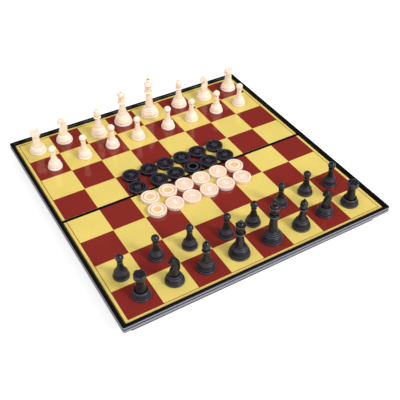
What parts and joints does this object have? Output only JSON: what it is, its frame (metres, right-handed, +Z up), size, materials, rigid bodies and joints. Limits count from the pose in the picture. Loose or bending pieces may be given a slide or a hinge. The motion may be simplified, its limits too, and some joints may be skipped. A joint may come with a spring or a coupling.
{
  "type": "folding chess and draughts case",
  "caption": "Folding case whose two hinged halves open flat into a chequered board, with magnetic chess men and draughts standing on it.",
  "frame": {"origin": "middle of the hinge line, on the table that the open case lies on", "axes": "+X along the hinge line to the right, +Y to the far half with the pale men, +Z up"},
  "size_m": [0.365, 0.365, 0.0841],
  "materials": {
    "case_black": "black moulded plastic, satin gloss",
    "plate_steel": "plain tinplate",
    "film_yellow": "glossy printed film, yellow",
    "print_red": "glossy brown-red print",
    "pin_steel": "bright steel wire",
    "black_men": "satin black polystyrene",
    "white_men": "slightly translucent peach-ivory polystyrene",
    "black_draughts": "satin black polystyrene",
    "white_draughts": "slightly translucent peach-ivory polystyrene",
    "magnet": "dark ferrite",
    "felt": "green felt"
  },
  "bodies": {
    "far_half": {"far_case": "case_black", "far_steel_plate": "plate_steel", "far_film": "film_yellow", "far_red_print": "print_red", "hinge_pins": "pin_steel"},
    "near_half": {"near_case": "case_black", "near_steel_plate": "plate_steel", "near_film": "film_yellow", "near_red_print": "print_red"},
    "black_king_set": {"black_king": "black_men", "black_king_magnet": "magnet", "black_king_pad": "felt"},
    "black_queen_set": {"black_queen": "black_men", "black_queen_magnet": "magnet", "black_queen_pad": "felt"},
    "black_bishops_set": {"black_bishops": "black_men", "black_bishop_magnets": "magnet", "black_bishop_pads": "felt"},
    "black_knights_set": {"black_knights": "black_men", "black_knight_magnets": "magnet", "black_knight_pads": "felt"},
    "black_rooks_set": {"black_rooks": "black_men", "black_rook_magnets": "magnet", "black_rook_pads": "felt"},
    "black_pawns_set": {"black_pawns": "black_men", "black_pawn_magnets": "magnet", "black_pawn_pads": "felt"},
    "white_king_set": {"white_king": "white_men", "white_king_magnet": "magnet", "white_king_pad": "felt"},
    "white_queen_set": {"white_queen": "white_men", "white_queen_magnet": "magnet", "white_queen_pad": "felt"},
    "white_bishops_set": {"white_bishops": "white_men", "white_bishop_magnets": "magnet", "white_bishop_pads": "felt"},
    "white_knights_set": {"white_knights": "white_men", "white_knight_magnets": "magnet", "white_knight_pads": "felt"},
    "white_rooks_set": {"white_rooks": "white_men", "white_rook_magnets": "magnet", "white_rook_pads": "felt"},
    "white_pawns_set": {"white_pawns": "white_men", "white_pawn_magnets": "magnet", "white_pawn_pads": "felt"},
    "black_draughts": {"black_draught_cups": "black_draughts", "black_draught_caps": "black_draughts", "black_draught_magnets": "magnet"},
    "white_draughts": {"white_draught_cups": "white_draughts", "white_draught_caps": "white_draughts", "white_draught_magnets": "magnet"}
  },
  "joints": [
    {"name": "fold", "type": "hinge", "parent": "far_half", "child": "near_half", "pos_m": [0, 0, 0.0026], "axis": [1, 0, 0], "range_deg": [0, 180]},
    {"name": "black_king_lift", "type": "slide", "parent": "near_half", "child": "black_king_set", "axis": [0, 0, 1], "range_m": [0, 0.08]},
    {"name": "black_queen_lift", "type": "slide", "parent": "near_half", "child": "black_queen_set", "axis": [0, 0, 1], "range_m": [0, 0.08]},
    {"name": "black_bishops_lift", "type": "slide", "parent": "near_half", "child": "black_bishops_set", "axis": [0, 0, 1], "range_m": [0, 0.08]},
    {"name": "black_knights_lift", "type": "slide", "parent": "near_half", "child": "black_knights_set", "axis": [0, 0, 1], "range_m": [0, 0.08]},
    {"name": "black_rooks_lift", "type": "slide", "parent": "near_half", "child": "black_rooks_set", "axis": [0, 0, 1], "range_m": [0, 0.08]},
    {"name": "black_pawns_lift", "type": "slide", "parent": "near_half", "child": "black_pawns_set", "axis": [0, 0, 1], "range_m": [0, 0.08]},
    {"name": "white_king_lift", "type": "slide", "parent": "far_half", "child": "white_king_set", "axis": [0, 0, 1], "range_m": [0, 0.08]},
    {"name": "white_queen_lift", "type": "slide", "parent": "far_half", "child": "white_queen_set", "axis": [0, 0, 1], "range_m": [0, 0.08]},
    {"name": "white_bishops_lift", "type": "slide", "parent": "far_half", "child": "white_bishops_set", "axis": [0, 0, 1], "range_m": [0, 0.08]},
    {"name": "white_knights_lift", "type": "slide", "parent": "far_half", "child": "white_knights_set", "axis": [0, 0, 1], "range_m": [0, 0.08]},
    {"name": "white_rooks_lift", "type": "slide", "parent": "far_half", "child": "white_rooks_set", "axis": [0, 0, 1], "range_m": [0, 0.08]},
    {"name": "white_pawns_lift", "type": "slide", "parent": "far_half", "child": "white_pawns_set", "axis": [0, 0, 1], "range_m": [0, 0.08]},
    {"name": "black_draughts_lift", "type": "slide", "parent": "far_half", "child": "black_draughts", "axis": [0, 0, 1], "range_m": [0, 0.08]},
    {"name": "white_draughts_lift", "type": "slide", "parent": "near_half", "child": "white_draughts", "axis": [0, 0, 1], "range_m": [0, 0.08]}
  ]
}
